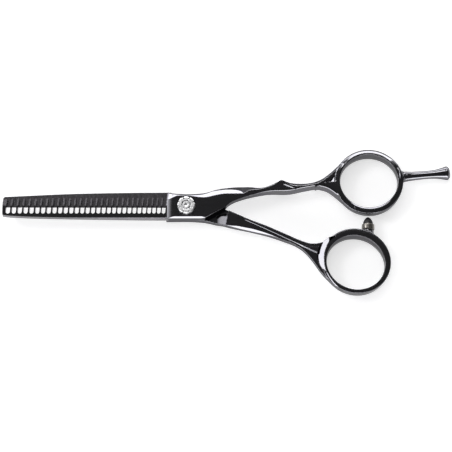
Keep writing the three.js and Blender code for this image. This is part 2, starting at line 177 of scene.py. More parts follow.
def at_corner(array, corner):
    """The array's value at this corner of every cell."""
    return array[tuple(slice(c, c + length - 1) for c, length in zip(corner, array.shape))]


def surface_middles(values, mixed):
    """For each mixed cell, the mean of the points where the surface crosses its edges, in cells."""
    total = np.zeros((mixed.sum(), 3))
    crossings = np.zeros(mixed.sum())
    for corner in CORNERS:
        for axis in range(3):
            if corner[axis]:
                continue
            other = tuple(v + (k == axis) for k, v in enumerate(corner))
            f0 = at_corner(values, corner)[mixed]
            f1 = at_corner(values, other)[mixed]
            crosses = (f0 < 0) != (f1 < 0)
            share = np.where(crosses, f0 / np.where(crosses, f0 - f1, 1), 0)
            point = np.tile(np.array(corner, dtype=float), (len(share), 1))
            point[:, axis] += share
            total += point * crosses[:, None]
            crossings += crosses
    return np.argwhere(mixed) + total / crossings[:, None]


def surface_quads(inside, number):
    """A quad for each grid edge that the surface crosses, joining the four cells round that edge."""
    cell_counts = np.array(inside.shape) - 1
    quads = []
    for axis in range(3):
        b, c = (axis + 1) % 3, (axis + 2) % 3
        start = [slice(None)] * 3
        end = [slice(None)] * 3
        start[axis], end[axis] = slice(0, -1), slice(1, None)
        start_inside, end_inside = inside[tuple(start)], inside[tuple(end)]
        for leaving in (True, False):
            where = np.argwhere(start_inside & ~end_inside if leaving else ~start_inside & end_inside)
            where = where[(where[:, b] > 0) & (where[:, c] > 0)]
            where = where[(where[:, b] < cell_counts[b]) & (where[:, c] < cell_counts[c])]
            loop = []
            for db, dc in ((0, 0), (1, 0), (1, 1), (0, 1)):
                cell = where.copy()
                cell[:, b] -= db
                cell[:, c] -= dc
                loop.append(number[cell[:, 0], cell[:, 1], cell[:, 2]])
            loop = np.stack(loop, axis=1)
            quads.append(loop if leaving else loop[:, ::-1])
    return np.concatenate(quads)


def surface_net(field, low, high, step):
    """Vertices, normals and quads of the surface field = 0 inside the box, one vertex to a cell."""
    xs, ys, zs = (np.arange(a - 1.5 * step, b + 2.5 * step, step) for a, b in zip(low, high))
    values = grid_values(field, xs, ys, zs)
    inside = values < 0
    count = sum(at_corner(inside, corner).astype(np.uint8) for corner in CORNERS)
    mixed = (count > 0) & (count < len(CORNERS))
    number = np.full(mixed.shape, -1, dtype=np.int64)
    number[mixed] = np.arange(mixed.sum())
    points = surface_middles(values, mixed) * step + np.array([xs[0], ys[0], zs[0]])
    points, normals = settle(field, points, step)
    return points, normals, surface_quads(inside, number)


def settle(field, points, step):
    """Moves points onto the surface, and returns them with the surface's normals there."""
    reach = 0.2 * step
    start = points.copy()
    for _ in range(4):
        slope = gradient(field, points, reach)
        size = np.maximum((slope**2).sum(axis=1), 0.05)
        move = -field(*points.T)[:, None] * slope / size[:, None]
        length = np.linalg.norm(move, axis=1, keepdims=True)
        points = points + move * np.minimum(1, 0.4 * step / np.maximum(length, 1e-9))
        points = np.clip(points, start - 0.6 * step, start + 0.6 * step)
    slope = gradient(field, points, reach)
    return points, slope / np.maximum(np.linalg.norm(slope, axis=1, keepdims=True), 1e-9)


def gradient(field, points, reach):
    shifts = reach * np.eye(3)
    rises = [field(*(points + shift).T) - field(*(points - shift).T) for shift in shifts]
    return np.stack(rises, axis=1) / (2 * reach)


# ---- Making Blender objects ----


def add_object(name, data):
    obj = bpy.data.objects.new(name, data)
    bpy.context.collection.objects.link(obj)
    return obj


def mesh_object(name, points, faces, material, normals=None):
    """A smooth-shaded object from points in millimetres."""
    mesh = bpy.data.meshes.new(name)
    mesh.from_pydata((np.asarray(points) * MM).tolist(), [], np.asarray(faces).tolist())
    mesh.validate()
    mesh.shade_smooth()
    mesh.materials.append(material)
    if normals is not None:
        mesh.normals_split_custom_set_from_vertices(np.asarray(normals).tolist())
    return add_object(name, mesh)


def field_object(name, field, low, high, step, material):
    points, normals, quads = surface_net(field, low, high, step)
    return mesh_object(name, points, quads, material, normals)


# ---- Finger rings ----

# The hole and the rim are ovals (middle x, y, half-axes a, b), turned by the same angle. The roof
# slopes down to the rim, the lip down into the hole, and the wall leans in towards its foot. Part
# of the thumb ring's roof steps down before the rim.
Ring = namedtuple("Ring", "hole rim turn roof_slope roof_width lip_width step_down under_lean")
FINGER_RING = Ring(
    hole=(69.55, 10.85, 10.85, 10.35), rim=(69.55, 10.75, 13.15, 13.05), turn=0.0,
    roof_slope=math.tan(math.radians(33)), roof_width=1.7, lip_width=1.0,
    step_down=0.0, under_lean=0.10,
)
THUMB_RING = Ring(
    hole=(64.0, -21.65, 11.0, 10.25), rim=(64.15, -21.05, 13.35, 12.75), turn=math.radians(-30),
    roof_slope=math.tan(math.radians(3)), roof_width=1.35, lip_width=0.0,
    step_down=0.28, under_lean=0.12,
)
LIP_SLOPE = math.tan(math.radians(33))
SIDE_SLOPE = math.tan(math.radians(3))
FAR_EDGE_ANGLE = math.radians(47)
NEAR_EDGE_ANGLE = math.radians(65)
RIM_EDGE_DEPTH = 0.2
HOLE_FLARE = 0.08
RIM_ROUNDING = 0.3
FACE_ROUNDING = 0.12  # of the edges round each half's faces


def slanted(drop, slope):
    """A sloping plane's distance, from how far a point is above it measured straight up."""
    return drop / np.hypot(1, slope)


def edge_cut(out, up, depth, angle=FAR_EDGE_ANGLE):
    """Cuts a steep narrow facet off the edge between a face (up) and a side wall (out)."""
    return out * np.sin(angle) + up * np.cos(angle) + depth


def hole_distance(ring, x, y):
    return oval_distance(ring.hole, ring.turn, x, y)


def hole_field(ring, x, y, z):
    """Positive in the finger hole and above the bevel round the near part of its edge."""
    up = np.abs(z - RING_MID_Z)
    into = hole_distance(ring, x, y)
    towards_near_side = (ring.hole[1] - y) / np.hypot(x - ring.hole[0], y - ring.hole[1])
    lip_width = ring.lip_width * smoothstep(0.5, 0.95, towards_near_side)
    lip = slanted(up - RING_HALF_HEIGHT + LIP_SLOPE * (lip_width - into), LIP_SLOPE)
    return meet(HOLE_FLARE * up - into, lip, RIM_ROUNDING)


def rim_step(ring, out, x, y):
    """How far the roof steps down outside a line that nears the rim round the ring's near side."""
    angle = np.degrees(np.arctan2(y - ring.rim[1], x - ring.rim[0])) % 360
    shown = smoothstep(192, 206, angle) * (1 - smoothstep(232, 244, angle))
    from_rim = mix(1.0, 0.25, smoothstep(205, 250, angle))
    return ring.step_down * shown * np.clip((out + from_rim) / (ring.step_down + 0.01), 0, 1)


def ring_field(ring, x, y, z):
    """The band between hole and rim: a flat top, a roof steepest far and near, a wall leaning under."""
    out = oval_distance(ring.rim, ring.turn, x, y)
    dx, dy = x - ring.rim[0], y - ring.rim[1]
    far_share = dy / np.hypot(dx, dy)
    roof_slope = mix(SIDE_SLOPE, ring.roof_slope, smoothstep(0.3, 0.85, np.abs(far_share)))
    up = np.abs(z - RING_MID_Z)
    up = up + np.where(z > RING_MID_Z, rim_step(ring, out, x, y), 0)
    roof = slanted(up - RING_HALF_HEIGHT + roof_slope * (out + ring.roof_width), roof_slope)
    rim_up = RING_HALF_HEIGHT - roof_slope * ring.roof_width
    edge_angle = mix(NEAR_EDGE_ANGLE, FAR_EDGE_ANGLE, smoothstep(-0.3, 0.3, far_share))
    wall = out + ring.under_lean * np.maximum(RING_MID_Z + rim_up - z, 0)
    wall = wall / math.hypot(1, ring.under_lean)
    edge = edge_cut(out, up - rim_up, RIM_EDGE_DEPTH, edge_angle)
    top = meet(np.maximum(roof, up - RING_HALF_HEIGHT), edge, 0.05)
    return meet(meet(wall, hole_field(ring, x, y, z), RIM_ROUNDING), top, FACE_ROUNDING)


SHOULDER_WIDTH = 2.1
SHOULDER_HALF_HEIGHT = 2.55
SHOULDER_SLOPE = 0.33
SHOULDER_BLEND, RING_BLEND = 0.25, 0.3


def shoulder_field(edge, start_x, end_x, x, y, z):
    """The strip that carries the far side of a shank on into the rim of its ring."""
    depth = below(edge, x, y)
    up = np.abs(z - RING_MID_Z)
    strip = np.maximum(depth + 0.4 * np.maximum(up - 0.8, 0), -depth - SHOULDER_WIDTH)
    face = up - SHOULDER_HALF_HEIGHT + SHOULDER_SLOPE * (depth + 1.9)
    ends = np.maximum(start_x - x, x - end_x)
    return np.maximum(meet(strip, face, RIM_ROUNDING), ends)


WALL_LENGTH = 1.08  # a leaning wall's length over its height, near enough for every wall


def soft_ramp(t, radius):
    """0 below zero and t above it, rounded in between."""
    return (np.sqrt(t * t + radius * radius) + t) / 2


def leaning(distance, z, middle, upper_lean, lower_lean):
    """A side wall that stands out furthest at its middle height."""
    above = upper_lean * np.maximum(z - middle, 0)
    beneath = lower_lean * np.maximum(middle - z, 0)
    return (distance + above + beneath) / WALL_LENGTH


# ---- Front half ----

# Curves along X. In plan: the far and near sides, and where the bevel and the shelf beside it start.
BEVEL_END_X = 21.7
finger_upper = curve_through([
    (RICASSO_X - 1, 6.8), (RICASSO_X + 0.5, 6.55), (-4.8, 5.83), (-2.4, 5.58), (1.3, 5.45),
    (4.9, 5.75), (7.3, 6.1), (11, 7.25), (15.8, 8.15), (19.5, 8.5), (24, 8.4), (28.5, 8.15),
    (32.5, 9.4), (35.9, 11.25), (36.4, 11.4), (36.9, 11.15), (40, 10.2), (44, 9.9), (48, 10.4),
    (51.5, 11.8), (54.5, 14.1), (58.4, 17.9),
])
finger_lower = curve_through([
    (HEEL_X, 0), (HEEL_RADIUS, 0.8), (17, 1.7), (19, 2.7), (24, 4.3), (31, 5.7), (39, 5.9),
    (45, 7.2), (49.5, 7.9), (53, 7.2), (55.5, 5.6), (58.4, 3.1), (61, 0.75), (64, -1.1),
])
bevel_start = curve_through([
    (RICASSO_X - 0.3, 0.35), (-7.2, 1.35), (-6.0, 2.6), (-4.8, 3.75), (-3.6, 4.3), (-2.4, 4.44),
    (1.3, 4.3), (4.9, 3.8), (7.3, 3.73), (11, 4.57), (13.4, 5.08), (15.8, 5.31), (BEVEL_END_X, 5.39),
])
shelf_start = curve_through([
    (-9, 1.2), (4.9, 1.85), (7.3, 1.95), (11, 2.87), (13.4, 3.45), (15.8, 3.68), (18.3, 3.82),
    (20.7, 4.4), (22, 5.5), (24, 6.7), (28, 7.3), (32.5, 8.8), (36.4, 10.9), (40, 9.1), (44, 8.7),
    (48, 9.1), (51.5, 10.6), (54.5, 12.9), (60, 18),
])
finger_shoulder = curve_through([
    (49, 10.6), (51.5, 11.7), (54.5, 14.0), (57.5, 17.1), (60.5, 20.2), (63.5, 22.25), (66.5, 23.35),
])
# In height: the flat top, the underside past the heel, and where the near side stands out furthest.
finger_top = curve_through([
    (RICASSO_X, FRONT_HIGH), (12, FRONT_HIGH), (24, 6.3), (38, 5.8), (58, 5.5),
])
finger_under = curve_through([
    (HEEL_RADIUS, FRONT_LOW), (18, 3.2), (21, 2.2), (26, 1.2), (33, 0.7), (58, 0.3),
])
finger_middle = curve_through([(HEEL_RADIUS, FRONT_LOW), (24, 3.6), (38, 3.1), (58, RING_MID_Z)])
# How the near side leans back above that height, and how the edges are rounded and faceted.
finger_lean = curve_through([
    (15, 0.0), (24, 0.08), (31, 0.3), (36, 0.42), (41, 0.42), (47, 0.4), (64, 0.45),
])
edge_rounding = curve_through([
    (RICASSO_X, 0.12), (15, 0.15), (22, 0.35), (30, 0.5), (40, 0.6), (58, 0.7),
])
edge_depth = curve_through([
    (RICASSO_X, 0.28), (8, 0.28), (13, 0.08), (20, 0.04), (26, 0.0), (58, 0.0),
])

HEEL_LOW = -4.55
HEEL_CHAMFER_SLOPE = math.tan(math.radians(49))
BEVEL_SLOPE = math.tan(math.radians(32))
SHELF_SLOPE = 0.33
ROLL_LENGTH, ROLL_DROP = 3.0, 0.85
# A shallow crease runs down across the face from this point.
CREASE_X, CREASE_Y, CREASE_SLOPE, CREASE_WIDTH = 37.1, 9.14, -0.398, 0.32
# The end of the ricasso is a little out of square and has a steep chamfer.
END_LEAN, END_CHAMFER_Z, END_CHAMFER_SLOPE = 0.07, 6.1, 1.2
# The shank ends inside the ring, this far from its hole.
FINGER_SHANK_END_X, FINGER_SHANK_TO_HOLE = 64, 0.9


def finger_heel(x):
    slope = -HEEL_LOW / (HEEL_X - HEEL_START_X)
    return HEEL_LOW + slope * np.maximum(x - HEEL_START_X, 0)


def finger_low_side(x):
    return np.where(x < HEEL_X, finger_heel(x), finger_lower(x))


def finger_height(x, y):
    """The face of the front half: flat, rolled down to the blade, bevelled along its far edge."""
    roll = np.clip(RICASSO_X + ROLL_LENGTH - x, 0, ROLL_LENGTH + 1) / ROLL_LENGTH
    flat = finger_top(x) - ROLL_DROP * roll**1.3
    past_bevel_start = np.where(x < BEVEL_END_X, below(bevel_start, x, y), y - shelf_start(x))
    bevel = finger_top(x) - BEVEL_SLOPE * past_bevel_start
    shelf = flat - SHELF_SLOPE * (y - shelf_start(x))
    past_crease = y - CREASE_Y - CREASE_SLOPE * (x - CREASE_X)
    crease_length = smoothstep(36.4, 37.6, x) * (1 - smoothstep(41, 42.5, x))
    crease = BEVEL_SLOPE * np.clip(past_crease, 0, CREASE_WIDTH) * crease_length
    return np.minimum(flat, np.maximum(bevel, shelf)) - crease


def finger_end(x, y, z):
    end = RICASSO_X + 0.5 - END_LEAN * (6 - y) - x
    chamfer = slanted(z - END_CHAMFER_Z + END_CHAMFER_SLOPE * end, END_CHAMFER_SLOPE)
    return np.maximum(end, chamfer)


def heel_chamfer_field(x, y, z):
    """The chamfer along the near edge, wide beside the dial and narrow down the heel."""
    width = mix(0.62, 0.2, smoothstep(5.5, 7.5, x))
    drop = z - FRONT_HIGH + HEEL_CHAMFER_SLOPE * (width + finger_heel(x) - y)
    return np.where(x < HEEL_X, slanted(drop, HEEL_CHAMFER_SLOPE), OUT_OF_REACH)


def finger_shank_field(x, y, z):
    rounding = edge_rounding(x)
    low = -below(finger_low_side, x, y)
    low = np.where(x < HEEL_X, low, leaning(low, z, finger_middle(x), finger_lean(x), 0.45))
    out = below(finger_upper, x, y)
    high = leaning(out, z, finger_middle(x), 0.1, 0.3 * smoothstep(12, 24, x))
    shank = meet(high, z - finger_height(x, y), FACE_ROUNDING)
    edge_height = finger_height(x, finger_upper(x))
    shank = np.maximum(shank, edge_cut(out, z - edge_height, edge_depth(x)))
    shank = meet(shank, low, np.where(x < HEEL_X, 0.1, rounding))
    shank = meet(shank, heel_chamfer_field(x, y, z), 0.06)
    under = np.where(x <= HEEL_RADIUS, FRONT_LOW, finger_under(x)) - z
    shank = meet(shank, under, np.where(x < HEEL_RADIUS, FACE_ROUNDING, rounding))
    shank = meet(shank, finger_end(x, y, z), 0.05)
    to_hole = hole_distance(FINGER_RING, x, y)
    end = np.maximum(x - FINGER_SHANK_END_X, FINGER_SHANK_TO_HOLE - to_hole)
    return np.maximum(np.maximum(shank, end), -finger_pocket_field(x, y, z))


def finger_half_field(x, y, z):
    shank = finger_shank_field(x, y, z)
    ring = ring_field(FINGER_RING, x, y, z)
    shoulder = shoulder_field(finger_shoulder, 49, 66.5, x, y, z)
    body = join(join(shank, shoulder, SHOULDER_BLEND), ring, RING_BLEND)
    body = np.maximum(body, hole_field(FINGER_RING, x, y, z))
    body = join(body, rest_boss_field(x, y, z), 1.2)
    body = meet(body, counterbore_field(x, y, z), 0.08)
    return np.maximum(body, LOWEST - z)


WEB_TOP = 5.5
WEB_TILT = math.radians(24)  # the webs between shank and ring lean down towards the pivot
POCKET_START_X, POCKET_END_X = 50, 57.4
POCKET_SIDE_X, POCKET_SIDE_Y, POCKET_SIDE_SLOPE = 54, 10.3, 0.08
POCKET_TO_SHOULDER = 1.7


def finger_pocket_field(x, y, z):
    """Negative in the small pocket between the shank, the shoulder and the ring."""
    floor = (WEB_TOP - z) * math.cos(WEB_TILT) - (POCKET_END_X - x) * math.sin(WEB_TILT)
    near_side = POCKET_SIDE_Y + POCKET_SIDE_SLOPE * (x - POCKET_SIDE_X) - y
    far_side = below(finger_shoulder, x, y) + POCKET_TO_SHOULDER
    return np.maximum(np.maximum(floor, np.maximum(near_side, far_side)), POCKET_START_X - x)


REST_BOSS_RADIUS, REST_BOSS_LENGTH = 1.95, 2.2
BOSS_FLARE = 0.12  # how fast each boss widens into its ring


def rest_boss_field(x, y, z):
    """The boss on the finger ring that the rest screws into."""
    along = (x - REST_X) * math.cos(REST_ANGLE) + (y - REST_Y) * math.sin(REST_ANGLE)
    across = (y - REST_Y) * math.cos(REST_ANGLE) - (x - REST_X) * math.sin(REST_ANGLE)
    radius = REST_BOSS_RADIUS + BOSS_FLARE * np.clip(-along, 0, 3) ** 2
    cone = np.hypot(across, z - RING_MID_Z) - radius
    return np.maximum(cone, np.maximum(along, -along - REST_BOSS_LENGTH))


COUNTERBORE_RADIUS, COUNTERBORE_FLOOR = 3.25, 5.2
BUSH_HOLE_RADIUS = 2.53


def counterbore_field(x, y, z):
    """Positive in the hole through the front half: wide above for the bearing, narrow below."""
    r = np.hypot(x, y)
    wide = np.minimum(COUNTERBORE_RADIUS - r, z - COUNTERBORE_FLOOR)
    return np.maximum(wide, BUSH_HOLE_RADIUS - r)


# ---- Back half ----

# Curves along X. In plan: the far and near sides, the ridge along the face and the bevel's start.
thumb_upper = curve_through([
    (HEEL_X, -0.2), (18.8, -1.8), (24, -4.2), (31, -7.0), (38, -10.2), (43.5, -12.7), (48, -13.9),
    (53, -13.0),
])
thumb_lower = curve_through([
    (RICASSO_X, -4.3), (3, -4.35), (9, -5.1), (16, -7.3), (20.5, -8.35), (24, -9.1), (31, -10.9),
    (37, -13.0), (41.5, -14.9), (45, -17.5), (48, -21.2), (50.5, -24.9), (53, -27.9), (56, -30.7),
    (59, -32.6),
])
thumb_ridge = curve_through([
    (19, -3.2), (21.7, -4.44), (28.6, -7.6), (35.5, -10.9), (47.8, -16.85), (53, -19),
])
thumb_bevel = curve_through([
    (14, -6.6), (16.9, -7.05), (20.75, -7.4), (24.6, -8.05), (28.5, -9.2), (32.4, -10.65),
    (36.2, -12.35), (40.1, -14.1), (43.2, -15.8), (45.9, -18.2), (48, -21.4), (50.5, -25.6), (53, -29),
    (59, -34),
])
thumb_shoulder = curve_through([
    (44.5, -13.15), (48.5, -13.95), (52, -13.2), (55.5, -11.55), (59, -9.8), (62.5, -8.75), (65, -8.45),
])
# In height: the underside and the face.
thumb_under = curve_through([(RICASSO_X, BACK_LOW), (12, BACK_LOW), (24, 0.5), (38, 0.3), (58, 0.3)])
thumb_crown = curve_through([(15, 5.3), (21, 5.4), (58, 5.4)])

HEEL_HIGH = 5.2
THUMB_BEVEL_SLOPE = math.tan(math.radians(47))
THUMB_SHANK_END_X, THUMB_SHANK_TO_HOLE = 59, 0.8
# The scoop rises from the mating face to a step, and leaves room for the other half's heel.
SCOOP_START, SCOOP_SLOPE, SCOOP_ROUNDING = 11.4, 0.36, 0.5
STEP_X, STEP_Y, STEP_LEAN = 15.9, -1.76, 0.19
CLEAR_X, CLEAR_Y, CLEAR_SLOPE = 11.2, -2.8, 0.22


def thumb_high_side(x):
    slope = (thumb_upper(HEEL_X) - HEEL_HIGH) / (HEEL_X - HEEL_START_X)
    heel = HEEL_HIGH + slope * np.maximum(x - HEEL_START_X, 0)
    return np.where(x < HEEL_X, heel, thumb_upper(x))


def thumb_height(x, y):
    """Flat under the front half, a scoop up to a step, then a face with a ridge along it."""
    step_x = STEP_X + STEP_LEAN * (y - STEP_Y)
    scoop = SCOOP_SLOPE * soft_ramp(x - SCOOP_START, SCOOP_ROUNDING) - 0.02
    clear = np.clip(CLEAR_Y + CLEAR_SLOPE * (x - CLEAR_X) - y, 0, None)
    inner = BACK_HIGH + np.minimum(scoop, clear)
    ridge = thumb_ridge(x)
    deeper = smoothstep(40, 49, x)
    drop = (0.22 + 0.3 * deeper) * np.clip((ridge - y) / (0.245 + 0.155 * deeper), 0, 1)
    face = thumb_crown(x) - drop * smoothstep(19, 23, x)
    bevel = thumb_crown(x) - THUMB_BEVEL_SLOPE * (thumb_bevel(x) - y)
    return np.where(x < step_x, inner, np.minimum(face, bevel))


def thumb_shank_field(x, y, z):
    lean = smoothstep(10, 18, x)
    high = leaning(below(thumb_high_side, x, y), z, RING_MID_Z, 0.12 * lean, 0.4 * lean)
    low = leaning(-below(thumb_lower, x, y), z, RING_MID_Z, 0.05 * lean, 0.5 * lean)
    shank = meet(high, z - thumb_height(x, y), FACE_ROUNDING)
    shank = meet(shank, low, 0.15)
    shank = meet(shank, thumb_under(x) - z, edge_rounding(x))
    shank = meet(shank, RICASSO_X - x, FACE_ROUNDING)
    to_hole = hole_distance(THUMB_RING, x, y)
    end = np.maximum(x - THUMB_SHANK_END_X, THUMB_SHANK_TO_HOLE - to_hole)
    return np.maximum(shank, end)


def thumb_half_field(x, y, z):
    shank = thumb_shank_field(x, y, z)
    ring = ring_field(THUMB_RING, x, y, z)
    shoulder = shoulder_field(thumb_shoulder, 44.5, 65, x, y, z)
    body = join(join(shank, shoulder, SHOULDER_BLEND), ring, RING_BLEND)
    outline, face = crescent_fields(x, y, z)
    body = np.maximum(body, -np.maximum(outline, -face))
    body = np.minimum(body, np.maximum(np.maximum(outline, face), WEB_LOW - z))
    body = np.maximum(body, hole_field(THUMB_RING, x, y, z))
    body = join(body, boss_field(x, y, z), 0.8)
    body = np.maximum(body, np.where(x > 60, z - RING_TOP, OUT_OF_REACH))
    body = meet(body, neck_field(x, y), 0.06)
    return np.maximum(body, LOWEST - z)


WEB_LOW = 0.6
# The web's outline lies inside one circle and outside another: middle x, y and radius.
CRESCENT_OUTER = (56.8, -18.9, 7.3)
CRESCENT_OUTER_SQUASH = 0.97
CRESCENT_INNER = (61.75, -19.6, 9.68)
CRESCENT_TO_HOLE = 1.1
CRESCENT_FACE_X = 52.8  # where its face reaches WEB_TOP


def crescent_fields(x, y, z):
    """The web between the shank and the thumb ring: its crescent outline, and the face leaning down."""
    outer_x, outer_y, outer_radius = CRESCENT_OUTER
    inner_x, inner_y, inner_radius = CRESCENT_INNER
    round_side = np.hypot(x - outer_x, (y - outer_y) * CRESCENT_OUTER_SQUASH) - outer_radius
    inner_side = inner_radius - np.hypot(x - inner_x, y - inner_y)
    ring_side = np.maximum(CRESCENT_TO_HOLE - hole_distance(THUMB_RING, x, y), inner_side)
    face = (z - WEB_TOP) * math.cos(WEB_TILT) + (CRESCENT_FACE_X - x) * math.sin(WEB_TILT)
    return np.maximum(ring_side, round_side), face


BUMPER_BOSS_RADIUS, BUMPER_BOSS_FOOT_Y = 2.1, -10.8
SEAT_GAP = 0.03  # between the boss and the collar that sits on it


def boss_field(x, y, z):
    """The boss on the thumb ring that holds the bumper."""
    r = np.hypot(x - BUMPER_X, z - RING_MID_Z)
    end_y = COLLAR_LOW[1] - SEAT_GAP
    radius = BUMPER_BOSS_RADIUS + BOSS_FLARE * np.clip(end_y - 0.8 - y, 0, 2) ** 2
    boss = meet(meet(r - radius, y - end_y, FACE_ROUNDING), z - RING_TOP, 0.1)
    return np.maximum(boss, BUMPER_BOSS_FOOT_Y - y)


NECK_HOLE_RADIUS, NECK_HOLE_FLAT = 2.23, 1.83


def neck_field(x, y):
    """Positive in the hole for the pivot screw's neck, which two flats keep from turning."""
    return -np.maximum(np.hypot(x, y) - NECK_HOLE_RADIUS, np.abs(x) - NECK_HOLE_FLAT)


# ---- Dial and hub screw ----

DIAL_RADIUS = DIAL_HIGH[0]
LOBES = 8
LOBE_DEPTH = 0.05
NOTCH_HALF_WIDTH, NOTCH_LENGTH = 0.15, 1.05
HUB_POCKET_RADIUS, HUB_POCKET_DEPTH = 1.8, 0.9
DIAL_BORE_RADIUS = 1.5
DISH_RADIUS, DISH_MIDDLE = 5.85, 5.6  # a ball this far above the dial leaves a shallow dish in its top
UNDER_RECESS_RADIUS, UNDER_RECESS_DEPTH = 2.75, 0.5


def dial_field(x, y, z):
    r = np.hypot(x, y)
    angle = np.arctan2(y, x)
    sector = 2 * math.pi / LOBES
    offset = (angle / sector - np.floor(angle / sector) - 0.5) * sector
    wall = r - (DIAL_RADIUS - 0.07 + LOBE_DEPTH * np.cos(LOBES * angle))
    body = meet(wall, z - DIAL_HIGH[2], 0.42)
    body = meet(body, DIAL_LOW[2] - z, 0.15)
    # A notch on the line between each two lobes, open at the rim and down the side.
    across = np.abs(r * np.sin(offset)) - NOTCH_HALF_WIDTH
    notch = np.maximum(across, DIAL_RADIUS - NOTCH_LENGTH - r)
    body = meet(body, -notch, 0.12)
    dish = np.hypot(r, z - DIAL_HIGH[2] - DISH_MIDDLE) - DISH_RADIUS
    body = meet(body, -dish, 0.1)
    hub_pocket = np.minimum(HUB_POCKET_RADIUS - r, z - DIAL_HIGH[2] + HUB_POCKET_DEPTH)
    body = meet(body, np.maximum(hub_pocket, DIAL_BORE_RADIUS - r), 0.08)
    under_recess = np.minimum(UNDER_RECESS_RADIUS - r, DIAL_LOW[2] + UNDER_RECESS_DEPTH - z)
    return meet(body, under_recess, 0.05)


HUB_HEAD_RADIUS, HUB_HEAD_HEIGHT = 1.4, 0.42
HUB_SHANK_RADIUS = 0.55
STAR_HALF_WIDTH, STAR_REACH, STAR_DEPTH = 0.62, 0.85, 0.3


def hub_field(x, y, z):
    r = np.hypot(x, y)
    head = meet(r - HUB_HEAD_RADIUS, z - HUB_HIGH[2], 0.18)
    head = meet(head, HUB_HIGH[2] - HUB_HEAD_HEIGHT - z, 0.05)
    # A recess that is a square cut off at its corners, deepest in the middle.
    diagonal = (np.abs(x) + np.abs(y)) / math.sqrt(2)
    star = np.maximum(diagonal - STAR_HALF_WIDTH, np.maximum(np.abs(x), np.abs(y)) - STAR_REACH)
    recess = np.maximum(star, HUB_HIGH[2] - STAR_DEPTH + 0.25 * r - z)
    ends = np.maximum(HUB_LOW[2] - z, z - (HUB_HIGH[2] - 0.35))
    shank = np.maximum(r - HUB_SHANK_RADIUS, ends)
    return join(meet(head, -recess, 0.06), shank, 0.05)


# ---- Turned pieces ----


def turned_object(name, profile, place, material, sides=96):
    """A body turned from [radius, height] points; place(radius, height, angle) says where each goes."""
    points, faces = [], []
    rings = len(profile)
    for i in range(sides):
        angle = 2 * math.pi * i / sides
        points += [place(r, h, angle) for r, h in profile]
    for i in range(sides):
        for j in range(rings - 1):
            a, b = i * rings + j, ((i + 1) % sides) * rings + j
            faces.append((a, b, b + 1, a + 1))
    obj = mesh_object(name, points, faces, material)
    work = bmesh.new()
    work.from_mesh(obj.data)
    bmesh.ops.remove_doubles(work, verts=work.verts, dist=1e-7)
    bmesh.ops.dissolve_degenerate(work, edges=work.edges, dist=1e-8)
    bmesh.ops.recalc_face_normals(work, faces=work.faces)
    work.to_mesh(obj.data)
    work.free()
    return obj


def smooth_profile(points, steps=6):
    """More points on a smooth line through a profile's own."""
    along = np.linspace(0, len(points) - 1, (len(points) - 1) * steps + 1)
    radius, height = (curve_through(list(enumerate(column)))(along) for column in zip(*points))
    return list(zip(np.maximum(radius, 0), height))


def along_rest(r, h, angle):
    """A point at radius r round the finger rest's axis, h along it."""
    x = h * math.cos(REST_ANGLE) - r * math.cos(angle) * math.sin(REST_ANGLE)
    y = h * math.sin(REST_ANGLE) + r * math.cos(angle) * math.cos(REST_ANGLE)
    return (REST_X + x, REST_Y + y, RING_MID_Z + r * math.sin(angle))


def along_bumper(r, h, angle):
    """A point at radius r round the bumper's axis, where h is its y."""
    return (BUMPER_X + r * math.cos(angle), h, RING_MID_Z - r * math.sin(angle))


# ---- Blades ----

GAP_COUNT = 30
FIRST_GAP_X = -67.7
FIRST_PITCH = 2.27
PITCH_STEP = -0.0167
FIRST_GAP_WIDTH, LAST_GAP_WIDTH = 1.62, 1.36
GAP_ROOT_Y = -2.6
GAP_LEAN = math.radians(4)

blade_spine = curve_through([
    (TIP_X, -3.1), (TIP_X + 1.2, -3.35), (-60, -3.85), (-40, -4.3), (-20, -4.6), (-5, -4.7),
])
tooth_tips = curve_through([(TIP_X, 3.3), (TIP_X + 1.2, 3.6), (-40, 4.05), (-5, 4.2)])


def gap_list():
    """The middle x and the width of each gap between the teeth, from the tip on."""
    gaps = []
    x = FIRST_GAP_X
    for i in range(GAP_COUNT):
        gaps.append((x, mix(FIRST_GAP_WIDTH, LAST_GAP_WIDTH, i / (GAP_COUNT - 1))))
        x += FIRST_PITCH + PITCH_STEP * i
    return gaps


def gap_outline(x, width, end_x):
    """Round one gap, up to the tooth tips on either side, where those lie short of end_x."""
    lean = math.tan(GAP_LEAN)
    r = width / 2
    root_y = GAP_ROOT_Y + r
    tip_y = float(tooth_tips(x)) - 0.05
    reach = tip_y - root_y
    points = [(x + r, root_y)]
    if x + r + lean * reach < end_x:
        points.insert(0, (x + r + lean * reach, tip_y))
    for k in range(1, 8):
        angle = -math.pi * k / 8
        points.append((x + r * math.cos(angle), root_y + r * math.sin(angle)))
    return points + [(x - r, root_y), (x - r + lean * reach, tip_y)]


def toothed_outline():
    """Round the toothed blade: along the spine, up the ricasso end, and back over the teeth."""
    end_x = RICASSO_X + 0.9
    points = [(x, float(blade_spine(x))) for x in np.linspace(TIP_X + 0.15, end_x, 40)]
    for x, width in reversed(gap_list()):
        points += gap_outline(x, width, end_x)
    points.append((TIP_X + 0.5, float(tooth_tips(TIP_X)) + 0.1))
    return points + [(TIP_X + 0.12, 2.9), (TIP_X, 2.3), (TIP_X, -2.5)]


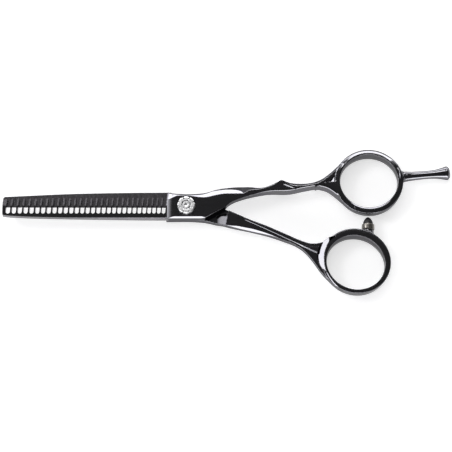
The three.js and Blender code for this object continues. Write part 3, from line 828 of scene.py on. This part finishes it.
def blade_object(name, outline, lines, top, under):
    """A plate with this outline, cut along the given y lines, its faces bent to top(y) and under(y)."""
    work = bmesh.new()
    face = work.faces.new([work.verts.new((x, y, 0)) for x, y in outline])
    face.normal_update()
    if face.normal.z < 0:
        face.normal_flip()
    for y in lines:
        everything = work.verts[:] + work.edges[:] + work.faces[:]
        bmesh.ops.bisect_plane(work, geom=everything, plane_co=(0, y, 0), plane_no=(0, 1, 0), dist=1e-5)
    lower = bmesh.ops.duplicate(work, geom=work.verts[:] + work.edges[:] + work.faces[:])
    lower_verts = {v for v in lower["geom"] if isinstance(v, bmesh.types.BMVert)}
    for f in lower["geom"]:
        if isinstance(f, bmesh.types.BMFace):
            f.normal_flip()
    border = [e for e in work.edges if len(e.link_faces) == 1]
    bmesh.ops.bridge_loops(work, edges=border)
    for v in work.verts:
        v.co.z = under(v.co.y) if v in lower_verts else top(v.co.y)
    bmesh.ops.triangulate(work, faces=[f for f in work.faces if len(f.verts) > 4])
    bmesh.ops.scale(work, vec=(MM, MM, MM), verts=work.verts)
    bmesh.ops.recalc_face_normals(work, faces=work.faces)
    mesh = bpy.data.meshes.new(name)
    work.to_mesh(mesh)
    work.free()
    return add_object(name, mesh)


# The toothed blade is flat between these lines, and falls away to the spine and the tooth tips.
SPINE_EDGE_Y, TEETH_START_Y = -4.2, 0.6
BLADE_TOP, SPINE_TOP, TOOTH_TIP_TOP = 6.2, 5.3, 4.7


def tooth_face(y):
    spine = np.interp(y, [-4.8, SPINE_EDGE_Y], [SPINE_TOP, BLADE_TOP])
    return float(min(spine, np.interp(y, [TEETH_START_Y, 4.6], [BLADE_TOP, TOOTH_TIP_TOP])))


def straight_outline():
    """Round the straight blade: out along its cutting side and back along its spine."""
    start_x, end_x = TIP_X + 0.6, RICASSO_X + 2
    upper = curve_through([(start_x, 4.85), (-45, 6.0), (-25, 6.45), (end_x, 6.6)])
    lower = curve_through([(start_x, 0.65), (end_x, 0.5)])
    xs = np.linspace(start_x, end_x, 40)
    points = [(x, float(lower(x))) for x in xs]
    points += [(x, float(upper(x))) for x in reversed(xs)]
    return points + [(TIP_X, 4.2), (TIP_X, 1.2)]


# The straight blade's underside is flat between the last two of these lines.
CUTTING_EDGE_Y, UNDER_FLAT_START_Y, UNDER_FLAT_END_Y = 0.6, 3.4, 5.4
EDGE_Z = BACK_HIGH - 0.1


def straight_under(y):
    lines = [0.5, UNDER_FLAT_START_Y, UNDER_FLAT_END_Y, 7.0]
    return float(np.interp(y, lines, [EDGE_Z, 1.3, 1.3, 1.9]))


def straight_face(y):
    """The inner face, ground down a little along the cutting edge."""
    return float(np.interp(y, [0.4, CUTTING_EDGE_Y], [EDGE_Z, BACK_HIGH]))


# ---- Materials ----


def feed(tree, socket, value):
    """Sets an input to a value, or links it to another node's output."""
    if isinstance(value, bpy.types.NodeSocket):
        tree.links.new(value, socket)
    else:
        socket.default_value = value


def node(tree, kind, **inputs):
    """A shader node with some inputs set. An input is given by its name, or by its number as _2."""
    made = tree.nodes.new("ShaderNode" + kind)
    for key, value in inputs.items():
        numbered = key[0] == "_" and key[1:].isdigit()
        socket = made.inputs[int(key[1:]) if numbered else key.replace("_", " ")]
        feed(tree, socket, value)
    return made


def math_node(tree, operation, a, b=0.0, clamp=False):
    made = node(tree, "Math", _0=a, _1=b)
    made.operation = operation
    made.use_clamp = clamp
    return made.outputs[0]


def blend_colours(tree, share, a, b):
    made = tree.nodes.new("ShaderNodeMix")
    made.data_type = "RGBA"
    # A mix node's colour inputs are numbers 6 and 7, and its colour output is number 2.
    for number, value in ((0, share), (6, a), (7, b)):
        feed(tree, made.inputs[number], value)
    return made.outputs[2]


def streaks(tree, place, angle, stretch, scale):
    """Noise drawn out along one direction in the XY plane."""
    turn = node(tree, "Mapping", Vector=place, Rotation=(0, 0, angle), Scale=(1, 1, 1))
    along = scale / stretch
    squeeze = node(tree, "Mapping", Vector=turn.outputs[0], Scale=(along, scale, along))
    noise = node(tree, "TexNoise", Vector=squeeze.outputs[0], Scale=1.0, Detail=4.0, Roughness=0.6)
    return noise.outputs[0]


WEAR_WIDTH = 0.12


def worn_edges(tree, base, mottle, wear):
    """The base colour, turned patchily to the wear colour along sharp edges."""
    rounded = node(tree, "Bevel", Radius=WEAR_WIDTH * MM)
    rounded.samples = 4
    true = node(tree, "NewGeometry").outputs["Normal"]
    dot = node(tree, "VectorMath", _0=rounded.outputs[0], _1=true)
    dot.operation = "DOT_PRODUCT"
    edge = math_node(tree, "SUBTRACT", 1.0, dot.outputs["Value"])
    patchy = math_node(tree, "MULTIPLY", edge, mottle)
    share = math_node(tree, "MULTIPLY", patchy, 1.6, clamp=True)
    return blend_colours(tree, share, base, wear)


def new_material(name):
    material = bpy.data.materials.new(name)
    material.use_nodes = True
    return material, material.node_tree, material.node_tree.nodes["Principled BSDF"]


def roughen(tree, shader, rough, change, noise):
    """Sets a roughness that goes up and down a little with the noise."""
    swing = math_node(tree, "MULTIPLY", math_node(tree, "SUBTRACT", noise, 0.5), change)
    tree.links.new(math_node(tree, "ADD", swing, rough), shader.inputs["Roughness"])


def emboss(tree, shader, height, strength, depth):
    relief = node(tree, "Bump", Strength=strength, Distance=depth * MM, Height=height)
    tree.links.new(relief.outputs[0], shader.inputs["Normal"])


def metal(name, colour, dark, rough, wear, streak=(0.4, 6, 1500), streak_depth=0.02, bump=0.1,
          rough_change=0.1, glancing=1.0):
    """Metal with streaks (angle, stretch, scale), a slight mottle and worn edges.

    A low glancing value darkens it where it is seen edge on.
    """
    material, tree, shader = new_material(name)
    shader.inputs["Metallic"].default_value = 1.0
    shader.inputs["Specular Tint"].default_value = (glancing, glancing, glancing, 1)
    place = node(tree, "TexCoord").outputs["Object"]
    grain = streaks(tree, place, *streak)
    mottle = node(tree, "TexNoise", Vector=place, Scale=350.0, Detail=3.0).outputs[0]
    base = worn_edges(tree, blend_colours(tree, mottle, dark, colour), mottle, wear)
    tree.links.new(base, shader.inputs["Base Color"])
    roughen(tree, shader, rough, rough_change, grain)
    height = math_node(tree, "ADD", grain, math_node(tree, "MULTIPLY", mottle, 0.3))
    emboss(tree, shader, height, bump, streak_depth)
    return material


def soft(name, colour, dark, rough, grain_scale, depth):
    """Rubber or plastic with a fine grain."""
    material, tree, shader = new_material(name)
    shader.inputs["Specular IOR Level"].default_value = 0.25
    place = node(tree, "TexCoord").outputs["Object"]
    grain = node(tree, "TexNoise", Vector=place, Scale=grain_scale, Detail=4.0).outputs[0]
    dust = node(tree, "TexNoise", Vector=place, Scale=300.0, Detail=2.0).outputs[0]
    tree.links.new(blend_colours(tree, dust, dark, colour), shader.inputs["Base Color"])
    roughen(tree, shader, rough, 0.2, dust)
    emboss(tree, shader, grain, 0.4, depth)
    return material


POLISHED = metal("polished_black", (0.165, 0.163, 0.165, 1), (0.150, 0.149, 0.166, 1), 0.12,
                 wear=(0.42, 0.41, 0.40, 1), streak=(0.0, 8, 900), bump=0.08, rough_change=0.06,
                 glancing=0.5)
GROUND = metal("ground_black", (0.22, 0.21, 0.22, 1), (0.13, 0.125, 0.14, 1), 0.2,
               wear=(0.35, 0.35, 0.35, 1), streak=(math.radians(75), 10, 2200), streak_depth=0.03,
               bump=0.12, rough_change=0.15)
CHROME = metal("chrome", (0.88, 0.88, 0.88, 1), (0.78, 0.78, 0.79, 1), 0.3, wear=(0.9, 0.9, 0.9, 1))
STEEL = metal("hard_steel", (0.62, 0.62, 0.64, 1), (0.52, 0.52, 0.54, 1), 0.2,
              wear=(0.75, 0.75, 0.75, 1))
SPRING = metal("spring_steel", (0.55, 0.53, 0.5, 1), (0.42, 0.4, 0.38, 1), 0.3,
               wear=(0.7, 0.7, 0.7, 1), streak=(1.1, 4, 1500))
BRONZE = metal("bronze", (0.72, 0.5, 0.27, 1), (0.58, 0.38, 0.2, 1), 0.32,
               wear=(0.85, 0.68, 0.45, 1), streak=(0.9, 3, 2000), bump=0.2)
COLLAR = metal("grey_collar", (0.24, 0.225, 0.20, 1), (0.17, 0.16, 0.15, 1), 0.3,
               wear=(0.4, 0.38, 0.36, 1), streak=(0.0, 3, 2500), bump=0.2)
CAGE = soft("cage_polymer", (0.16, 0.15, 0.13, 1), (0.10, 0.095, 0.09, 1), 0.5, 3000.0, 0.02)
RUBBER = soft("black_rubber", (0.020, 0.018, 0.019, 1), (0.012, 0.011, 0.012, 1), 0.38, 4000.0, 0.015)


# ---- Pieces ----


def place_piece(obj, body, cad_node):
    """Fixes a piece to its body, in place of its CAD node."""
    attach(obj, body)
    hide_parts(cad_node)


def joined(handle, blade):
    """The blade's mesh, ground rather than polished, added to the handle's: they are one forging."""
    handle.data.materials.append(GROUND)
    for material in (POLISHED, GROUND):
        blade.data.materials.append(material)
    for face in blade.data.polygons:
        on_flat_spine = face.normal.z > 0.5 and SPINE_EDGE_Y * MM < face.center.y < TEETH_START_Y * MM
        face.material_index = 0 if on_flat_spine else 1
    with bpy.context.temp_override(active_object=handle, selected_editable_objects=[handle, blade]):
        bpy.ops.object.join()
    return handle


# Corners of boxes that hold the two handles
FINGER_HANDLE_BOX = (RICASSO_X, HEEL_LOW, 0), (86.5, 24.0, FRONT_HIGH)
THUMB_HANDLE_BOX = (RICASSO_X, -34.5, 0), (78.0, HEEL_HIGH, 5.7)


def make_halves():
    cell = 0.18
    box = FINGER_HANDLE_BOX
    handle = field_object("toothed_half_body", finger_half_field, *box, cell, POLISHED)
    lines = (SPINE_EDGE_Y, TEETH_START_Y)
    blade = blade_object("toothed_blade", toothed_outline(), lines, tooth_face, lambda y: FRONT_LOW)
    place_piece(joined(handle, blade), "finger_half", "toothed_half")
    box = THUMB_HANDLE_BOX
    handle = field_object("straight_half_body", thumb_half_field, *box, cell, POLISHED)
    lines = (CUTTING_EDGE_Y, UNDER_FLAT_START_Y, UNDER_FLAT_END_Y)
    blade = blade_object("straight_blade", straight_outline(), lines, straight_face, straight_under)
    place_piece(joined(handle, blade), "thumb_half", "straight_half")


def make_dial():
    cell = 0.055
    low = (-DIAL_RADIUS, -DIAL_RADIUS, DIAL_LOW[2])
    high = (DIAL_RADIUS, DIAL_RADIUS, DIAL_HIGH[2])
    dial = field_object("tension_dial_body", dial_field, low, high, cell, CHROME)
    hub = field_object("hub_screw_body", hub_field, HUB_LOW, HUB_HIGH, 0.6 * cell, CHROME)
    place_piece(dial, "tension_dial", "tension_dial")
    place_piece(hub, "thumb_half", "hub_screw")


BUMPER_STEM_RADIUS = 0.98
BUMPER_STEM_GAP = 0.05
TIP_FOOT_Y = -5.82  # where the rubber dome sits on its collar


def make_bumper():
    tip_radius = TIP_HIGH[0] - BUMPER_X
    stem = [(0, TIP_LOW[1]), (BUMPER_STEM_RADIUS, TIP_LOW[1]), (BUMPER_STEM_RADIUS, TIP_FOOT_Y)]
    dome = [
        (tip_radius, TIP_FOOT_Y + 0.02), (tip_radius - 0.06, -5.15), (1.55, -4.35), (1.1, -3.7),
        (0.55, -3.18), (0, TIP_HIGH[1]),
    ]
    profile = stem + [(tip_radius, TIP_FOOT_Y)] + smooth_profile(dome)
    tip = turned_object("bumper_tip_body", profile, along_bumper, RUBBER)
    place_piece(tip, "thumb_half", "bumper_tip")

    low, high = COLLAR_LOW[1] + 0.02, COLLAR_HIGH[1] - 0.02
    radius = COLLAR_HIGH[0] - BUMPER_X
    side = [
        (radius - 0.3, low), (radius - 0.04, low + 0.23), (radius - 0.02, low + 0.88),
        (radius - 0.04, high - 0.43), (radius - 0.16, high - 0.12), (tip_radius - 0.02, high),
    ]
    bore = BUMPER_STEM_RADIUS + BUMPER_STEM_GAP
    profile = [(bore, low)] + smooth_profile(side) + [(bore, high), (bore, low)]
    collar = turned_object("bumper_collar_body", profile, along_bumper, COLLAR)
    place_piece(collar, "thumb_half", "bumper_collar")


REST_LENGTH = 16.73
# From the stub in the ring out to the end: radius, and distance along the rest.
REST_STUB = [(0, -1.5), (0.9, -1.5), (0.9, -0.02)]
REST_SIDE = [
    (1.93, 0.0), (1.76, 1.6), (1.65, 4), (1.57, 6.6), (1.59, 8.8), (1.74, 11), (2.08, 13), (2.48, 14.7),
    (2.66, REST_LENGTH - 1.45), (2.56, REST_LENGTH - 0.9), (1.93, REST_LENGTH - 0.3),
    (1.0, REST_LENGTH - 0.05), (0, REST_LENGTH),
]


def make_rest():
    profile = REST_STUB + smooth_profile(REST_SIDE)
    rest = turned_object("finger_rest_body", profile, along_rest, POLISHED)
    place_piece(rest, "finger_half", "finger_rest")


CAD_MATERIALS = {
    "pivot_bush": BRONZE,
    "lower_race": STEEL,
    "upper_race": STEEL,
    "ball_cage": CAGE,
    "spring_washer": SPRING,
    "click_plate": SPRING,
    "pivot_screw": CHROME,
}


def paint_cad_nodes():
    for name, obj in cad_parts.items():
        material = STEEL if name.startswith("bearing_ball_") else CAD_MATERIALS.get(name)
        if material is None:
            continue
        if not obj.material_slots:
            obj.data.materials.append(material)
        for slot in obj.material_slots:
            slot.material = material


# ---- Camera, floor and lights ----

VIEW_CENTRE = Vector((15.06, -6.78, 3.75)) * MM
VIEW_WIDTH = 171.5 * MM
ELEVATION = math.radians(72)
LENS, SENSOR_WIDTH = 200, 36


def aim(obj, target):
    obj.rotation_euler = (target - obj.location).to_track_quat("-Z", "Y").to_euler()


def place_camera():
    data = bpy.data.cameras.new("camera")
    data.lens = LENS
    data.sensor_width = SENSOR_WIDTH
    data.clip_end = 20
    distance = VIEW_WIDTH * LENS / SENSOR_WIDTH
    camera = add_object("camera", data)
    direction = Vector((0, -math.cos(ELEVATION), math.sin(ELEVATION)))
    camera.location = VIEW_CENTRE + distance * direction
    aim(camera, VIEW_CENTRE)
    bpy.context.scene.camera = camera


LIT_POINT = Vector((20, 0, 0)) * MM
SOFTBOX_DISTANCE = 1.0
WATTS_PER_AREA = 4  # for each square metre of a softbox, at a radiance of 1


def softbox(name, azimuth, elevation, width, height, radiance):
    """An area light at this compass angle from +Y (clockwise) and height angle, facing the part."""
    data = bpy.data.lights.new(name, "AREA")
    data.shape = "RECTANGLE"
    data.size, data.size_y = width, height
    data.energy = WATTS_PER_AREA * radiance * width * height
    light = add_object(name, data)
    a, e = math.radians(azimuth), math.radians(elevation)
    direction = Vector((math.sin(a) * math.cos(e), math.cos(a) * math.cos(e), math.sin(e)))
    light.location = LIT_POINT + SOFTBOX_DISTANCE * direction
    aim(light, LIT_POINT)
    return light


FLOOR_SIZE = 6
FLOOR_Z = -0.02 * MM  # just clear of what lies on it


def make_floor():
    bpy.ops.mesh.primitive_plane_add(size=FLOOR_SIZE, location=(0, 0, FLOOR_Z))
    floor = bpy.context.object
    floor.name = "floor"
    material, _, shader = new_material("floor")
    shader.inputs["Base Color"].default_value = (0.7, 0.7, 0.7, 1)
    shader.inputs["Roughness"].default_value = 1.0
    shader.inputs["Specular IOR Level"].default_value = 0.0
    shader.inputs["Emission Color"].default_value = (1, 1, 1, 1)
    shader.inputs["Emission Strength"].default_value = 0.62
    floor.data.materials.append(material)


def band(tree, radiance, *limits):
    """Light from one part of the room. A limit is a value, where it is dark and where it is full."""
    light = radiance
    for value, dark, full in limits:
        step = node(tree, "MapRange", _0=value, _1=dark, _2=full)
        step.interpolation_type = "SMOOTHSTEP"
        light = math_node(tree, "MULTIPLY", step.outputs[0], light)
    return light


def light_room():
    """A dim room: bright low at the back, with a glow above, and bright high left and low in front."""
    world = bpy.data.worlds.new("studio")
    bpy.context.scene.world = world
    world.use_nodes = True
    tree = world.node_tree
    place = node(tree, "SeparateXYZ", _0=node(tree, "TexCoord").outputs["Generated"])
    x, y, up = place.outputs["X"], place.outputs["Y"], place.outputs["Z"]

    def towards(across, back):
        x_part = math_node(tree, "MULTIPLY", x, across)
        return math_node(tree, "ADD", x_part, math_node(tree, "MULTIPLY", y, back))

    beside_left = math_node(tree, "ABSOLUTE", towards(0.39, 0.92))
    back = band(tree, 7.0, (up, 0.33, 0.22), (up, 0.0, 0.05), (y, 0.60, 0.82))
    glow = band(tree, 0.45, (up, 0.70, 0.45), (up, 0.0, 0.05), (y, 0.30, 0.60))
    left = band(tree, 9.5, (up, 0.82, 0.55), (up, 0.45, 0.60), (towards(-0.92, 0.39), 0.30, 0.50),
                (beside_left, 0.32, 0.15))
    front = band(tree, 7.0, (up, 0.50, 0.20), (up, 0.0, 0.05), (towards(-0.45, -0.9), 0.45, 0.75))
    total = 0.08
    for light in (back, glow, left, front):
        total = math_node(tree, "ADD", light, total)
    background = tree.nodes["Background"]
    background.inputs["Color"].default_value = (0.98, 0.98, 1.0, 1)
    tree.links.new(total, background.inputs["Strength"])


def light_part():
    """One lamp that is only mirrored in the part, and one that is never mirrored in it."""
    key = softbox("key", azimuth=-8, elevation=52, width=0.6, height=0.3, radiance=5.0)
    key.visible_diffuse = False
    overhead = softbox("overhead", azimuth=-10, elevation=62, width=0.9, height=0.9, radiance=0.9)
    overhead.visible_glossy = False


bpy.context.scene.view_settings.view_transform = "Standard"
place_camera()
make_floor()
light_room()
light_part()
make_halves()
make_dial()
make_bumper()
make_rest()
paint_cad_nodes()
